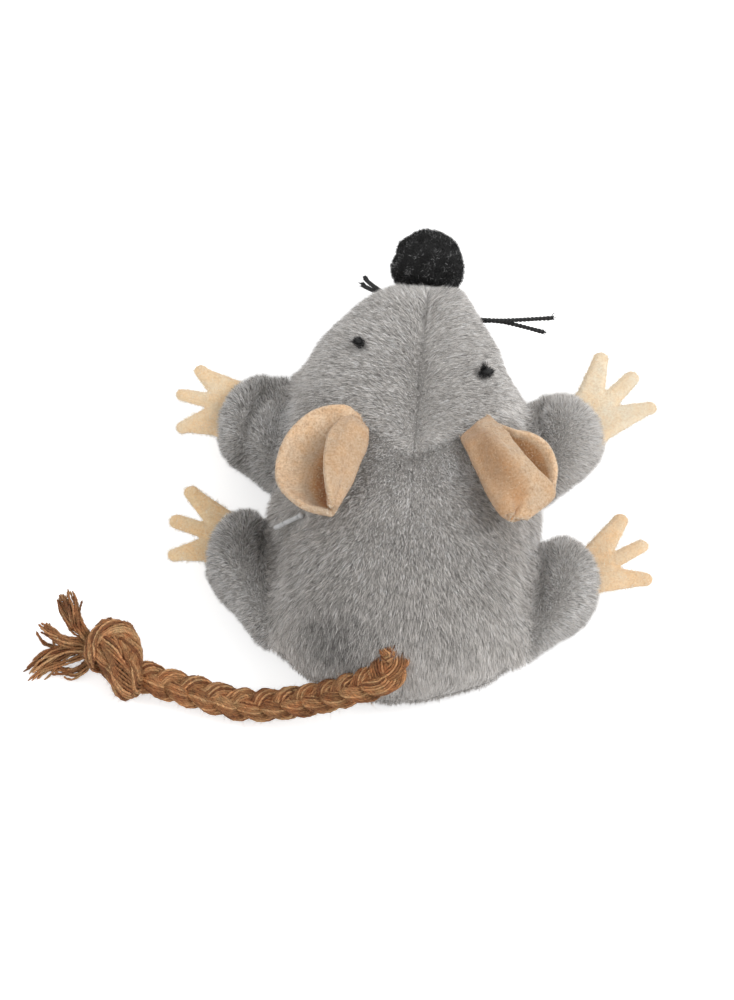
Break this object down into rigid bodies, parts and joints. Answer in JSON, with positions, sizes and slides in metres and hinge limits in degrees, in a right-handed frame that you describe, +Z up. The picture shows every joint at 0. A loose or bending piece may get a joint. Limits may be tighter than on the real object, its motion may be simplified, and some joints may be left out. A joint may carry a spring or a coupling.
{
  "type": "mole pet toy",
  "caption": "Stuffed plush mole toy for a pet, with felt paws and folded felt ears, a black plush nose, thread eyes and whiskers, and a knotted braided jute tail.",
  "frame": {"origin": "on the floor, under the middle of the toy with its tail left out", "axes": "+Y to the nose, +X to the right side of the toy, +Z up"},
  "size_m": [0.1641, 0.1479, 0.0602],
  "materials": {
    "plush": "short dense pile",
    "black_plush": "short dense pile",
    "wadding": "loose fibre",
    "felt": "soft brushed felt",
    "thread": "twisted thread",
    "jute": "rough natural yarn",
    "clear_plastic": "translucent moulding"
  },
  "bodies": {
    "body": {"torso_back_left": "plush", "torso_back_right": "plush", "torso_belly": "plush", "torso_filling": "wadding", "head_left": "plush", "head_right": "plush", "head_filling": "wadding", "nose": "black_plush", "eye_left": "thread", "eye_right": "thread", "whisker_left_upper": "thread", "whisker_left_lower": "thread", "whisker_right_upper": "thread", "whisker_right_lower": "thread", "tag_pin": "clear_plastic"},
    "ear_left": {"ear_left": "felt"},
    "ear_right": {"ear_right": "felt"},
    "front_left": {"front_left_leg": "plush", "front_left_leg_filling": "wadding", "front_left_paw": "felt"},
    "front_right": {"front_right_leg": "plush", "front_right_leg_filling": "wadding", "front_right_paw": "felt"},
    "rear_left": {"rear_left_leg": "plush", "rear_left_leg_filling": "wadding", "rear_left_paw": "felt"},
    "rear_right": {"rear_right_leg": "plush", "rear_right_leg_filling": "wadding", "rear_right_paw": "felt"},
    "tail": {"tail_braid": "jute", "tail_knot": "jute", "tail_fray": "jute"}
  },
  "joints": [
    {"name": "front_left_hinge", "type": "hinge", "parent": "body", "child": "front_left", "pos_m": [-0.03469, 0.00684, 0.01397], "axis": [0.0391, 0.9992, 0], "range_deg": [-8, 22], "stiffness_Nm_per_rad": 0.05},
    {"name": "front_right_hinge", "type": "hinge", "parent": "body", "child": "front_right", "pos_m": [0.03235, 0.00775, 0.01397], "axis": [0.1773, -0.9842, 0], "range_deg": [-8, 22], "stiffness_Nm_per_rad": 0.05},
    {"name": "rear_left_hinge", "type": "hinge", "parent": "body", "child": "rear_left", "pos_m": [-0.03479, -0.03934, 0.014], "axis": [-0.0617, 0.9981, 0], "range_deg": [-8, 22], "stiffness_Nm_per_rad": 0.05},
    {"name": "rear_right_hinge", "type": "hinge", "parent": "body", "child": "rear_right", "pos_m": [0.03443, -0.04192, 0.014], "axis": [-0.0558, -0.9984, 0], "range_deg": [-8, 22], "stiffness_Nm_per_rad": 0.05},
    {"name": "ear_left_hinge", "type": "hinge", "parent": "body", "child": "ear_left", "pos_m": [-0.0107, -0.0062, 0.04974], "axis": [-0.621, 0.6822, -0.3859], "range_deg": [0, 65], "stiffness_Nm_per_rad": 0.02},
    {"name": "ear_right_hinge", "type": "hinge", "parent": "body", "child": "ear_right", "pos_m": [0.0145, -0.0062, 0.04812], "axis": [-0.5682, -0.6242, 0.5362], "range_deg": [0, 65], "stiffness_Nm_per_rad": 0.02},
    {"name": "tail_swing", "type": "hinge", "parent": "body", "child": "tail", "pos_m": [0.0027, -0.0704, 0.0273], "axis": [0, 0, 1], "range_deg": [0, 90], "stiffness_Nm_per_rad": 0.02}
  ]
}
